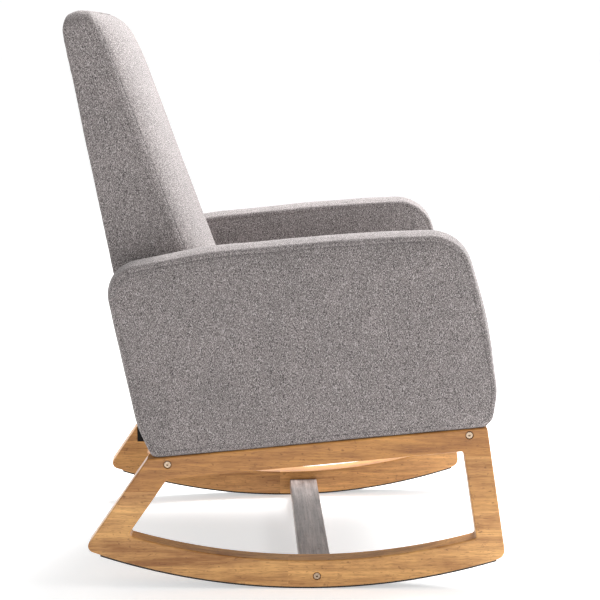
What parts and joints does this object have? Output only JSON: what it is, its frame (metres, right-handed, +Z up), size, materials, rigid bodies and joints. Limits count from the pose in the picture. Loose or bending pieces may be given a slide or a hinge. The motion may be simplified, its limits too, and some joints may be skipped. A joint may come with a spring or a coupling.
{
  "type": "rocking chair",
  "caption": "Upholstered nursery rocking chair: padded arms, seat and tall raked back on two flared wooden rocker frames joined by a low crossbar.",
  "frame": {"origin": "on the floor, at the middle of the chair's bounding box", "axes": "+Z up, the sitter faces -Y, the sitter's right is -X"},
  "size_m": [0.6372, 0.7587, 0.9998],
  "materials": {
    "frame_wood": "satin lacquer over honey stain",
    "stained_bar": "grey-brown stain",
    "inner_wood": "raw sawn timber and plywood",
    "tweed_fabric": "heathered grey weave",
    "black_cloth": "non-woven cambric",
    "webbing": "elastic webbing",
    "anti_slip_rubber": "matte strip",
    "plated_steel": "yellow zinc plate"
  },
  "bodies": {
    "root": {"arm_screws": "plated_steel", "back_bolts": "plated_steel", "back_front_pad": "tweed_fabric", "back_lower_bar": "inner_wood", "back_middle_bar": "inner_wood", "back_rear_panel": "tweed_fabric", "back_top_bar": "inner_wood", "back_top_pad": "tweed_fabric", "back_webbing": "webbing", "crossbar": "stained_bar", "crossbar_barrel_nuts": "plated_steel", "crossbar_bolts": "plated_steel", "dust_cover": "black_cloth", "frame_bolts": "plated_steel", "left_arm_front_pad": "tweed_fabric", "left_arm_front_post": "inner_wood", "left_arm_inner_panel": "tweed_fabric", "left_arm_outer_panel": "tweed_fabric", "left_arm_rear_pad": "tweed_fabric", "left_arm_rear_post": "inner_wood", "left_arm_sill": "inner_wood", "left_arm_top_bar": "inner_wood", "left_arm_top_pad": "tweed_fabric", "left_back_post": "inner_wood", "left_back_side_panel": "tweed_fabric", "left_front_leg": "frame_wood", "left_front_runner": "frame_wood", "left_rear_runner": "frame_wood", "left_runner_pad": "anti_slip_rubber", "left_seat_side_board": "inner_wood", "left_top_rail": "frame_wood", "rear_apron": "black_cloth", "right_arm_front_pad": "tweed_fabric", "right_arm_front_post": "inner_wood", "right_arm_inner_panel": "tweed_fabric", "right_arm_outer_panel": "tweed_fabric", "right_arm_rear_pad": "tweed_fabric", "right_arm_rear_post": "inner_wood", "right_arm_sill": "inner_wood", "right_arm_top_bar": "inner_wood", "right_arm_top_pad": "tweed_fabric", "right_back_post": "inner_wood", "right_back_side_panel": "tweed_fabric", "right_front_leg": "frame_wood", "right_front_runner": "frame_wood", "right_rear_runner": "frame_wood", "right_runner_pad": "anti_slip_rubber", "right_seat_side_board": "inner_wood", "right_top_rail": "frame_wood", "seat_corner_blocks": "inner_wood", "seat_cushion": "tweed_fabric", "seat_deck": "inner_wood", "seat_front_board": "inner_wood", "seat_front_pad": "tweed_fabric", "seat_front_rail": "inner_wood", "seat_middle_board": "inner_wood", "seat_platform": "tweed_fabric", "seat_rear_board": "inner_wood", "threaded_inserts": "plated_steel"}
  },
  "joints": []
}
